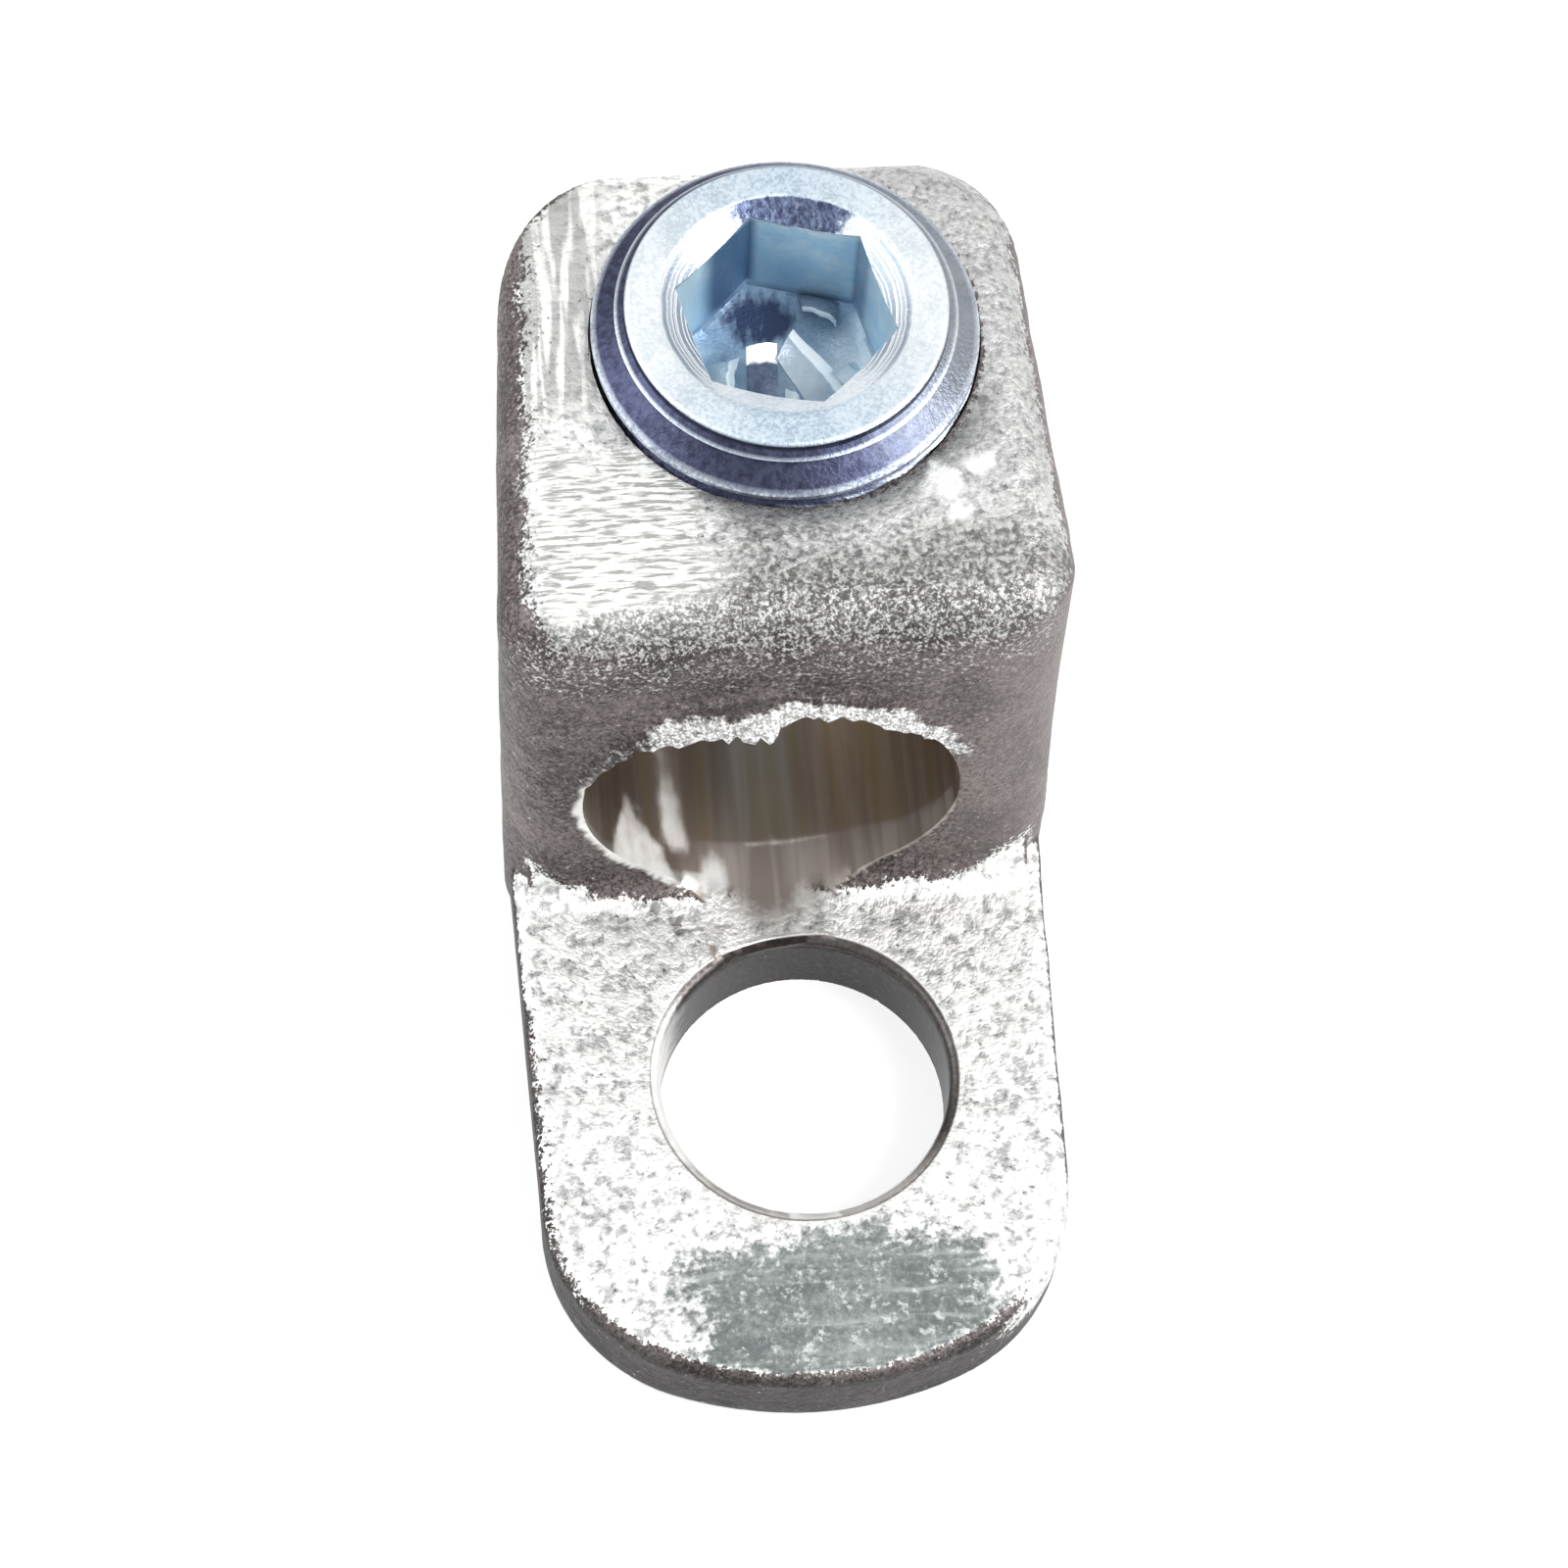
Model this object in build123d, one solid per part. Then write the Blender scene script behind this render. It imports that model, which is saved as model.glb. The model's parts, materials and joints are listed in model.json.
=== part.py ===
from build123d import *
from math import radians, sqrt, tan
import os

# Cable terminal lug with a set screw, in millimetres.
# The origin is the middle of the bolt hole on the flat underside, and +Z is up.
# The tongue points to -Y. The cable comes in along Y, at the far end of the block.

# Cast body: where its middle plane lies beside the drilled bolt hole
cast_x = -0.3

# Cast body: the tongue
tongue_thickness = 3.0
tongue_half_width = 8.5  # at the bolt hole
tongue_spread = 0.028  # growth of the half width for each mm toward the block
nose_reach = 10.4  # bolt hole to the end of the tongue
nose_end_radius = 12.5
nose_corner_radius = 6.0
tongue_top_round = 0.45

# Cast body: the block
block_front = 7.0  # front face, at the top of the tongue
block_depth = 17.6  # front face to the back face's upper end
block_height = 19.2
block_front_half_width = 9.0
block_back_half_width = 8.0
face_lean = 2.0  # degrees that the front and back faces lean in toward the top
front_corner_radius = 2.0
back_corner_radius = 3.5
top_round = 1.8
foot_radius = 1.2  # hollow blend between the front face and the tongue
underside_round = 0.3

# Holes
bolt_hole_diameter = 9.3
bolt_hole_round = 0.3  # rounded upper edge
cable_bore_diameter = 12.0
cable_bore_x = -0.7
cable_groove_depth = 0.2  # how far the cable bore cuts into the top of the tongue
cable_lead_in = 0.5  # chamfer where the cable goes in

# Set screw
thread_diameter = 12.0
thread_clearance = 0.05  # on the radius, between the screw and the plain wall of its hole
screw_x = 0.2
screw_y = 17.9
screw_length = 6.4
screw_proud = 1.85  # how far the screw stands above the block
screw_top_flat_diameter = 9.85
screw_top_chamfer = 1.15  # height of the chamfered ring round the top
screw_tip_flat_diameter = 9.8
screw_tip_chamfer = 0.9
socket_across_flats = 6.0
socket_depth = 4.2
socket_turn = -15.5  # degrees from the X axis to a corner of the hexagon
socket_mouth_diameter = 7.8
socket_mouth_depth = 0.45
socket_drill_diameter = 5.8
socket_drill_depth = 4.3
socket_cone_angle = 150.0

# Worked out from the sizes above
lean = tan(radians(face_lean))
block_back = block_front + block_depth
block_narrowing = (block_front_half_width - block_back_half_width) / block_depth
cable_bore_radius = cable_bore_diameter / 2
cable_bore_z = tongue_thickness - cable_groove_depth + cable_bore_radius
screw_radius = thread_diameter / 2
screw_hole_radius = screw_radius + thread_clearance
screw_top = block_height + screw_proud
screw_bottom = screw_top - screw_length


def tongue_side(y):
    """Half width of the tongue at a distance y from the bolt hole."""
    return tongue_half_width + tongue_spread * y


def block_side(y):
    """Half width of the block at a distance y from the bolt hole."""
    return block_front_half_width - block_narrowing * (y - block_front)


def make_tongue():
    """Flat tongue: sides that spread toward the block, a nose of three arcs, rounded rims."""
    root = block_front + front_corner_radius
    centre_y = nose_end_radius - nose_reach
    a = 1 + tongue_spread**2
    b = tongue_half_width * tongue_spread - centre_y
    c = tongue_half_width**2 + centre_y**2 - nose_end_radius**2
    corner_y = -(b + sqrt(b**2 - a * c)) / a
    corner_x = tongue_side(corner_y)
    sides = Polyline(
        (-corner_x, corner_y),
        (-tongue_side(root), root),
        (tongue_side(root), root),
        (corner_x, corner_y),
    )
    nose = ThreePointArc((corner_x, corner_y), (0, -nose_reach), (-corner_x, corner_y))
    plan = make_face(sides.edges() + nose.edges())
    plan = fillet(plan.vertices().group_by(Axis.Y)[0], nose_corner_radius)
    tongue = extrude(plan, tongue_thickness)
    tongue = fillet(tongue.faces().sort_by(Axis.Z)[0].edges(), underside_round)
    return fillet(tongue.faces().sort_by(Axis.Z)[-1].edges(), tongue_top_round)


def upright_edges(solid, at_back):
    """The two upright edges at the front or the back of the block."""
    upright = solid.edges().filter_by(lambda e: e.bounding_box().size.Z > block_height * 0.8)
    ordered = upright.sort_by(Axis.Y)
    return ordered[-2:] if at_back else ordered[:2]


def make_block():
    """Block with leaning front and back faces, narrower at the cable end, all its corners rounded."""
    front_low = block_front - lean * tongue_thickness
    front_high = block_front + lean * (block_height - tongue_thickness)
    back_low = block_back + lean * block_height
    wide = block_side(front_low)
    narrow = block_side(back_low)
    side_view = Polyline(
        (front_low, 0),
        (back_low, 0),
        (block_back, block_height),
        (front_high, block_height),
        close=True,
    )
    plan = Polyline(
        (-wide, front_low),
        (wide, front_low),
        (narrow, back_low),
        (-narrow, back_low),
        close=True,
    )
    solid = extrude(Plane.YZ * make_face(side_view), wide, both=True)
    solid &= extrude(make_face(plan), block_height)
    solid = fillet(upright_edges(solid, False), front_corner_radius)
    solid = fillet(upright_edges(solid, True), back_corner_radius)
    solid = fillet(solid.faces().sort_by(Axis.Z)[0].edges(), underside_round)
    return fillet(solid.faces().sort_by(Axis.Z)[-1].edges(), top_round)


def is_level(edge, z):
    """True for an edge that lies at height z all along."""
    box = edge.bounding_box()
    return abs(box.min.Z - z) + abs(box.max.Z - z) < 0.01


def make_foot(block):
    """Hollow blend in front of the block, made round it on a wide plate and then trimmed."""
    reach = nose_reach + block_back + block_height
    plate = Box(reach, 2 * reach, tongue_thickness, align=(Align.CENTER, Align.CENTER, Align.MIN))
    blended = plate + block
    foot = blended.edges().filter_by(lambda e: is_level(e, tongue_thickness) and e.length < reach)
    blended = fillet(foot, foot_radius)
    front = block_front - 2 * foot_radius
    half_width = tongue_side(front) - tongue_top_round  # the blend ends at the tongue's rounded rim
    depth = front_corner_radius + 2 * foot_radius
    trim = Box(2 * half_width, depth, 3 * foot_radius, align=(Align.CENTER, Align.MIN, Align.CENTER))
    return blended & (Pos(0, front, tongue_thickness) * trim)


def make_casting():
    """Tongue and block as one piece, before any hole is drilled."""
    block = make_block()
    return Pos(cast_x, 0, 0) * (make_tongue() + block + make_foot(block))


def bolt_hole_cutter():
    """Bolt hole with a rounded upper edge."""
    radius = bolt_hole_diameter / 2
    wide = radius + bolt_hole_round
    round_start = tongue_thickness - bolt_hole_round
    outline = Polyline(
        (wide, tongue_thickness),
        (wide, tongue_thickness + bolt_hole_round),
        (0, tongue_thickness + bolt_hole_round),
        (0, -bolt_hole_round),
        (radius, -bolt_hole_round),
        (radius, round_start),
    )
    rounded_edge = CenterArc((wide, round_start), bolt_hole_round, 90, 90)
    return revolve(Plane.XZ * make_face(outline.edges() + rounded_edge.edges()), Axis.Z)


def cable_bore_cutter():
    """Round bore right through the block. It grazes the tongue and runs out in the bolt hole."""
    back = block_back + lean * (block_height - cable_bore_z)
    wide = cable_bore_radius + cable_lead_in
    outline = Polyline(
        (0, 0),
        (cable_bore_radius, 0),
        (cable_bore_radius, back - cable_lead_in),
        (wide, back),
        (wide, back + wide),
        (0, back + wide),
        close=True,
    )
    bore = revolve(make_face(outline), Axis.Y)
    return Pos(cable_bore_x, 0, cable_bore_z) * bore


def screw_hole_cutter():
    """Hole for the screw, from the top of the block down to the middle of the cable bore."""
    depth = block_height + top_round - cable_bore_z
    hole = Cylinder(screw_hole_radius, depth, align=(Align.CENTER, Align.CENTER, Align.MIN))
    return Pos(screw_x, screw_y, cable_bore_z) * hole


def make_lug_body():
    """The one-piece cast body with its three drilled holes."""
    return make_casting() - bolt_hole_cutter() - cable_bore_cutter() - screw_hole_cutter()


def make_clamp_screw():
    """Headless screw with a hex socket, chamfered at both ends."""
    top_flat = screw_top_flat_diameter / 2
    tip_flat = screw_tip_flat_diameter / 2
    outline = Polyline(
        (0, 0),
        (tip_flat, 0),
        (screw_radius, screw_tip_chamfer),
        (screw_radius, screw_length - screw_top_chamfer),
        (top_flat, screw_length),
        (0, screw_length),
        close=True,
    )
    screw = revolve(Plane.XZ * make_face(outline), Axis.Z)
    drill_radius = socket_drill_diameter / 2
    cone_depth = drill_radius / tan(radians(socket_cone_angle / 2))
    mouth_radius = socket_mouth_diameter / 2
    inner_radius = mouth_radius - 2 * socket_mouth_depth
    drill = Polyline(
        (0, screw_length - socket_drill_depth - cone_depth),
        (drill_radius, screw_length - socket_drill_depth),
        (drill_radius, screw_length - socket_mouth_depth),
        (inner_radius, screw_length - socket_mouth_depth),
        (mouth_radius, screw_length),
        (0, screw_length),
        close=True,
    )
    socket = RegularPolygon(socket_across_flats / 2, 6, major_radius=False, rotation=socket_turn)
    screw -= Pos(0, 0, screw_length - socket_depth) * extrude(socket, socket_depth)
    screw -= revolve(Plane.XZ * make_face(drill), Axis.Z)
    return Pos(screw_x, screw_y, screw_bottom) * screw


pieces = {
    "lug_body": make_lug_body(),
    "clamp_screw": make_clamp_screw(),
}
os.makedirs("parts", exist_ok=True)
for name, piece in pieces.items():
    export_step(piece, f"parts/{name}.step")
    box = piece.bounding_box()
    print(name, "volume", round(piece.volume, 1), "low", box.min, "high", box.max)
print("cable bore height", cable_bore_z, "screw tip height", round(screw_bottom, 3))
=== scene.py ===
# %% [markdown]
# # A cast cable lug and its clamping screw
# The object is a small electrical terminal: a block with a round cable bore, a flat tongue with a bolt
# hole, and a zinc plated screw that clamps the cable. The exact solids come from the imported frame. This
# lesson gives them the skin of the real thing: a rough tinned casting, a ragged drill burr, a real screw
# thread and a broached socket. Each step says what the real part is like and why it is made this way.

import json
import math

import bpy
import bmesh
import numpy as np
from mathutils import Matrix, Vector, noise


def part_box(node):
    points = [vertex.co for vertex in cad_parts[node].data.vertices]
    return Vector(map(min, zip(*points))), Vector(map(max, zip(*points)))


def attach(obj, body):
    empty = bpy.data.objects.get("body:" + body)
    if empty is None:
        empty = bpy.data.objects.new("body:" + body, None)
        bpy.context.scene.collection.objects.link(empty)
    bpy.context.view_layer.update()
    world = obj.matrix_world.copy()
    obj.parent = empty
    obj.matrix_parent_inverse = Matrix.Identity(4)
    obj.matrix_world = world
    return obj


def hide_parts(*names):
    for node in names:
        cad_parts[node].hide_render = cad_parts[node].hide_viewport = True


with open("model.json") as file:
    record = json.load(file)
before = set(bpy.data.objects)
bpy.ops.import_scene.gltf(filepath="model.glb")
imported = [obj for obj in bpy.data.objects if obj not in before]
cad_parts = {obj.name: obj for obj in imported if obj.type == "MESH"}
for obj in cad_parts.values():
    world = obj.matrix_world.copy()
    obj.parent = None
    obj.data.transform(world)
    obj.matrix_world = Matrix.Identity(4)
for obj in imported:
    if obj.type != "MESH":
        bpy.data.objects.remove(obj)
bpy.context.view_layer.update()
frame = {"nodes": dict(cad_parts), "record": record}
MM = 0.001

# %% [markdown]
# ## Places that the frame gives
# Nothing is fitted by eye where the frame knows it. The record's mounts give the holes and the screw,
# and the casting's box gives its outer corners. They are turned into millimetres once.

# %% Read holes, screw and casting from the frame
mounts = {mount["name"]: mount for mount in frame["record"]["mounts"]}
bolt_radius = mounts["bolt_hole"]["dims"]["r_mm"]
bore_radius = mounts["cable_bore"]["dims"]["r_mm"]
bore_x = mounts["cable_bore"]["pos_m"][0] / MM
bore_z = mounts["cable_bore"]["pos_m"][2] / MM
screw_x, screw_y, screw_top = (part / MM for part in mounts["key_socket"]["pos_m"])
cast_low, cast_high = (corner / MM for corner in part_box("lug_body"))
screw_low, screw_high = (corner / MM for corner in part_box("clamp_screw"))
screw_radius = (screw_high.x - screw_low.x) / 2
screw_bottom = screw_low.z
block_top = cast_high.z
cast_middle = (cast_low.x + cast_high.x) / 2
print("bore", bore_radius, "at", bore_x, bore_z, "screw", screw_radius, "at", screw_x, screw_y, screw_top)

# %% [markdown]
# ## Sizes of the casting that the looks need
# The front face leans back a little, so that the casting comes out of its mould. These few sizes say
# where it, the tongue's top and the holes are, so that a surface can be told by where its points lie.
# Areas fade in and out along a smooth S.

# %% Name the casting's main faces
tongue_top = 3.0
face_front = 7.0
face_lean = math.tan(math.radians(2.0))
block_half_width = 9.0
block_narrowing = 1.0 / 17.6
screw_clearance = 0.05
screw_hole_radius = screw_radius + screw_clearance


def face_y(z):
    """Where the block's leaning front face stands at height z."""
    return face_front + face_lean * (z - tongue_top)


def smooth(zero, one, value):
    """0 at the first place, 1 at the second, and an even S between them."""
    t = np.clip((value - zero) / (one - zero), 0, 1)
    return t * t * (3 - 2 * t)


def band(value, start, full, fall, end):
    """Rises from start to full, and goes back to 0 from fall to end."""
    return smooth(start, full, value) * smooth(end, fall, value)


def field(points, wavelength, seed, depth=2):
    """Smooth noise from -1 to 1 at each point, for a given wavelength in millimetres."""
    offset = Vector((seed * 17.3, seed * 5.1, seed * 9.7))
    scale = 1 / wavelength
    return np.array([noise.fractal(Vector(p) * scale + offset, 1.0, 2.0, depth) for p in points])


def wall_distances(points):
    """How far each point is outside the wall of the bore, of the bolt hole and of the screw's hole."""
    x, y, z = points.T
    off_bore = np.hypot(x - bore_x, z - bore_z) - bore_radius
    off_screw = np.hypot(x - screw_x, y - screw_y) - screw_hole_radius
    return off_bore, np.hypot(x, y) - bolt_radius, off_screw


# %% [markdown]
# ## Turning arrays into objects
# Both pieces are worked out as lists of points in millimetres, and one helper turns those into Blender
# objects, in metres. Others spread a value to its neighbours, and keep numbers for a material to read.

# %% Helpers that make and read meshes
def make_object(name, points, faces):
    """A mesh object from points in millimetres."""
    mesh = bpy.data.meshes.new(name)
    mesh.from_pydata([tuple(float(c) * MM for c in p) for p in points], [], faces)
    mesh.validate()
    mesh.update()
    made = bpy.data.objects.new(name, mesh)
    bpy.context.scene.collection.objects.link(made)
    return made


def face_outward(mesh):
    """Turns every face so that its front is outside."""
    work = bmesh.new()
    work.from_mesh(mesh)
    bmesh.ops.recalc_face_normals(work, faces=work.faces)
    work.to_mesh(mesh)
    work.free()


def settle(made):
    """Applies the object's modifiers, so that its mesh is what shows."""
    graph = bpy.context.evaluated_depsgraph_get()
    mesh = bpy.data.meshes.new_from_object(made.evaluated_get(graph))
    made.modifiers.clear()
    made.data = mesh


def points_of(mesh):
    """The mesh's points as an array, in millimetres."""
    flat = np.empty(len(mesh.vertices) * 3)
    mesh.vertices.foreach_get("co", flat)
    return flat.reshape(-1, 3) / MM


def normals_of(mesh):
    """The direction in which the surface faces at each point."""
    flat = np.empty(len(mesh.vertices) * 3)
    mesh.vertices.foreach_get("normal", flat)
    return flat.reshape(-1, 3)


# %% Helpers that change meshes
def move_points(mesh, points):
    """Puts the mesh's points at new places, given in millimetres."""
    mesh.vertices.foreach_set("co", (points * MM).ravel())
    mesh.update()


def spread(mesh, values, times):
    """Averages each point's value with those of its neighbours, a number of times."""
    ends = np.empty(len(mesh.edges) * 2, int)
    mesh.edges.foreach_get("vertices", ends)
    first, second = ends.reshape(-1, 2).T
    size = len(values)
    shared = 1 + np.bincount(first, minlength=size) + np.bincount(second, minlength=size)
    for _ in range(times):
        beside = np.bincount(first, values[second], size) + np.bincount(second, values[first], size)
        values = (values + beside) / shared
    return values


def paint(mesh, **masks):
    """Keeps numbers for each point, which a material can read by their names."""
    for name, values in masks.items():
        layer = mesh.attributes.new(name, "FLOAT", "POINT")
        layer.data.foreach_set("value", np.clip(values, 0, 1).astype(np.float32))


def shade_smooth(mesh, crease):
    """Shades the mesh smoothly, but not across edges sharper than the crease, in degrees."""
    for polygon in mesh.polygons:
        polygon.use_smooth = True
    mesh.set_sharp_from_angle(angle=math.radians(crease))


# %% [markdown]
# ## The burr at the mouth of the bore
# The cable bore is drilled from the far side of the block. Where the drill broke through the front face
# it pushed the soft metal out into a ragged lip, which still hangs over the top of the mouth. It is high
# on the left and thin on the right. The lip is one closed ribbon: a small section is carried round the
# upper rim, with a reach and a hang that change along the way, and its two ends sink into the metal.

# %% The burr's section
burr_start = math.radians(171)
burr_end = math.radians(12)
burr_steps = 110
burr_along = [-6.6, -5.4, -3.8, -2.4, -1.1, -0.5, 0.1, 0.9, 2.3, 3.6, 4.7, 5.3]
burr_reach = [0.0, 0.26, 0.50, 0.76, 0.94, 0.90, 0.66, 0.50, 0.40, 0.40, 0.34, 0.05]
burr_hang = [0.0, 0.22, 0.45, 0.74, 1.00, 0.94, 0.62, 0.46, 0.34, 0.30, 0.16, 0.0]


def burr_section(angle, number):
    """Points of the lip's section at one angle round the bore: beyond the wall, and along the bore."""
    x = bore_radius * math.cos(angle)
    large_tears = noise.noise(Vector((number * 0.31, 0.7, 2.2)))
    small_tears = noise.noise(Vector((number * 0.83, 5.1, 0)))
    ragged = large_tears + 0.6 * small_tears
    reach = np.interp(x, burr_along, burr_reach) * (1 + 0.35 * ragged)
    hang = np.interp(x, burr_along, burr_hang) * (1 + 0.30 * ragged)
    return [
        (0.95, 0.45),
        (0.80, 0.12 - 0.08 * reach),
        (0.42 - 0.25 * hang, 0.04 - 0.72 * reach),
        (0.16 - 0.85 * hang, 0.06 - 1.0 * reach),
        (0.10 - 1.0 * hang, 0.28 - 0.92 * reach),
        (0.14 - 0.70 * hang, 0.42 - 0.35 * reach),
        (0.16, 0.85),
        (0.55, 0.95),
    ]


# %% Make the burr as a closed ribbon
burr_points = []
for number, angle in enumerate(np.linspace(burr_start, burr_end, burr_steps)):
    for beyond, along in burr_section(angle, number):
        radius = bore_radius + beyond
        z = bore_z + radius * math.sin(angle)
        burr_points.append((bore_x + radius * math.cos(angle), face_y(z) + along, z))
section_size = len(burr_section(0, 0))
last_ring = (burr_steps - 1) * section_size
burr_faces = [tuple(reversed(range(section_size)))]
for ring in range(0, last_ring, section_size):
    for corner in range(section_size):
        here = ring + corner
        beside = ring + (corner + 1) % section_size
        burr_faces.append((here, beside, beside + section_size, here + section_size))
burr_faces.append(tuple(range(last_ring, last_ring + section_size)))
burr = make_object("burr", burr_points, burr_faces)
face_outward(burr.data)
print("burr faces", len(burr.data.polygons))

# %% [markdown]
# ## An even skin over the casting
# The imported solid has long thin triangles, which are no use for a rough surface. Its copy is joined
# with the burr by a boolean, and the Remesh modifier lays an even net of small squares over both. Its
# sharp mode keeps the rims of the drilled holes as edges, which a voxel remesh would round off.

# %% Join casting and burr, and lay the net
weld_distance = 0.0005
net_depth = 8
net_scale = 0.68

casting = bpy.data.objects.new("cast_body", frame["nodes"]["lug_body"].data.copy())
bpy.context.scene.collection.objects.link(casting)
weld = bmesh.new()
weld.from_mesh(casting.data)
bmesh.ops.remove_doubles(weld, verts=weld.verts, dist=weld_distance * MM)
weld.to_mesh(casting.data)
weld.free()
casting.data.materials.clear()

join = casting.modifiers.new("burr", "BOOLEAN")
join.operation = "UNION"
join.solver = "EXACT"
join.object = burr
net = casting.modifiers.new("net", "REMESH")
net.mode = "SHARP"
net.octree_depth = net_depth
net.scale = net_scale
net.use_remove_disconnected = True
settle(casting)
bpy.data.objects.remove(burr)
print("casting faces", len(casting.data.polygons))

# %% [markdown]
# ## True holes
# A drill leaves an exact round wall, so each point of the net that lies near a hole's wall is put on it.
# The names x, y and z are columns of the array of points and not copies, so they follow every move.

# %% Put the drilled walls on their cylinders
snap_distance = 0.14
bore_end = cast_high.y - 0.65  # the lead-in for the cable starts here
behind_burr = 0.9

mesh = casting.data
points = points_of(mesh)
x, y, z = points.T
off_bore, off_bolt, off_screw = wall_distances(points)


def put_on(hit, axes, middle, radius):
    """Puts the points that are hit on a circle round the hole's middle."""
    away = [points[hit, axis] - centre for axis, centre in zip(axes, middle)]
    for axis, centre, part in zip(axes, middle, away):
        points[hit, axis] = centre + part * radius / np.hypot(*away)


bore_near, bolt_near, screw_near = (np.abs(off) < snap_distance for off in (off_bore, off_bolt, off_screw))
in_block = y > face_y(z) + behind_burr
in_groove = (z < bore_z - 1.0) & (off_bolt > 0.2) & (y > 0)
in_bore = bore_near & (z > tongue_top - 0.35) & (y < bore_end) & (in_block | in_groove)
in_bolt = bolt_near & (z > 0.05) & (z < tongue_top - 0.32)
in_screw = screw_near & (z > bore_z + 2) & (z < block_top - 0.1)
put_on(in_bore & ~in_screw, (0, 2), (bore_x, bore_z), bore_radius)
put_on(in_bolt, (0, 1), (0, 0), bolt_radius)
put_on(in_screw, (0, 1), (screw_x, screw_y), screw_hole_radius)
move_points(mesh, points)
drilled = in_bore | in_bolt | in_screw
print("points on drilled walls", int(drilled.sum()), "of", len(points))

# %% [markdown]
# ## A cast skin
# Elsewhere the metal ran into a mould, so the skin swells and sinks by a few hundredths. This fades out
# near a drilled wall, so that the rims stay round, and at the flat underside, which carries the current.

# %% Swell the skin
swell, swell_length = 0.055, 3.4
pebble, pebble_length = 0.022, 0.75
burr_swell, burr_length = 0.07, 0.45

normals = normals_of(mesh)
off_bore, off_bolt, off_screw = wall_distances(points)
on_burr = (y < face_y(z) - 0.07) & (z > bore_z) & (off_bore < 1.0)
clear_of_holes = (
    smooth(0.1, 0.6, off_bore)
    * smooth(0.1, 0.7, np.where(z < tongue_top + 1, off_bolt, 1))
    * smooth(0.05, 0.4, np.where(z > bore_z, off_screw, 1))
)
free = clear_of_holes * smooth(0.0, 0.8, z) * ~on_burr
push = swell * field(points, swell_length, 1) + pebble * field(points, pebble_length, 2)
push = push * free + burr_swell * field(points, burr_length, 3) * on_burr
points += normals * push[:, None]
print("largest swell", np.abs(push).max())

# %% [markdown]
# ## Soft edges
# The upper edge of the bolt hole is a small round, so points there go on it. The groove's edges and the
# root of the burr are softened by averaging each point with its neighbours. Three upright corners of
# the block grow rounder toward the top. The casting stays inside the box of its solid.

# %% Round the bolt hole's upper edge
hole_round = 0.3
round_middle = bolt_radius + hole_round
round_low = tongue_top - hole_round

from_axis = np.hypot(x, y)
inward = from_axis - round_middle
upward = z - round_low
on_round = (inward < 0) & (upward > 0) & (from_axis > bolt_radius - 0.1) & (z < tongue_top + 0.1)
on_round &= np.hypot(x - bore_x, z - bore_z) > bore_radius + 0.05
share = hole_round / np.maximum(np.hypot(inward, upward), 0.01)
ring = (round_middle + inward * share) / np.maximum(from_axis, 0.01)
x[on_round] *= ring[on_round]
y[on_round] *= ring[on_round]
z[on_round] = (round_low + upward * share)[on_round]

# %% Wear down the groove's edges and the root of the burr
worn_steps = 12

beside_groove = band(y, 4.75, 5.2, 6.9, 7.6) * smooth(4.1, 3.3, np.abs(x - bore_x))
beside_groove *= (np.abs(z - tongue_top) < 0.45) * smooth(0.25, 0.6, np.hypot(x, y) - bolt_radius)
burr_root = band(off_bore, 0.45, 0.8, 1.6, 2.2) * (z > bore_z + 1.5)
burr_root *= np.abs(face_y(z) - y) < 0.6
worn = np.maximum(beside_groove, burr_root)
for axis in range(3):
    points[:, axis] += worn * (spread(mesh, points[:, axis], worn_steps) - points[:, axis])

# %% Soften three upright corners of the block
soft_corners = (
    # side of the block, front or back, radius
    (1, "front", 3.0),
    (-1, "back", 4.9),
    (1, "back", 4.2),
)

amount = smooth(tongue_top + 0.3, tongue_top + 10, z)
for toward, end, radius in soft_corners:
    side = block_half_width - block_narrowing * (y - face_front)
    edge_y = face_y(z) if end == "front" else cast_high.y - face_lean * z
    inward = 1 if end == "front" else -1
    corner_x = cast_middle + toward * (side - radius)
    corner_y = edge_y + inward * radius
    beyond_x = x - corner_x
    beyond_y = y - corner_y
    reach = np.hypot(beyond_x, beyond_y)
    soften = (beyond_x * toward > 0) & (beyond_y * inward < 0) & (reach > radius) & ~on_burr
    pull = 1 - amount * (1 - radius / np.maximum(reach, radius))
    x[soften] = (corner_x + beyond_x * pull)[soften]
    y[soften] = (corner_y + beyond_y * pull)[soften]
np.clip(points, np.array(cast_low), np.array(cast_high), out=points)
move_points(mesh, points)
print("casting box", points.min(0), points.max(0))

# %% [markdown]
# ## Telling the finishes apart
# One material serves the whole casting, and reads a number at each point for what differs. Faces that
# stand upright are painted a grey brown skin, as painted shade. It creeps over the left edge, wraps the
# rim of the nose and ends before the block in a wandering line, which a painted highlight breaks beside
# the groove.

# %% Where the skin is painted grey brown, as painted shade
foot_line = (
    # places across the tongue, and how far forward the painted shade of the skin comes there
    (-8.6, -7.6, -6.1, -3.6, 1.7, 3.2, 5.6, 7.3, 8.3),
    (8.3, 7.3, 6.85, 6.65, 6.5, 6.7, 6.95, 7.9, 8.6),
)
foot_slope = 0.49  # the line moves back by this for each mm up the hollow foot
streak_x = -2.35

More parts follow.
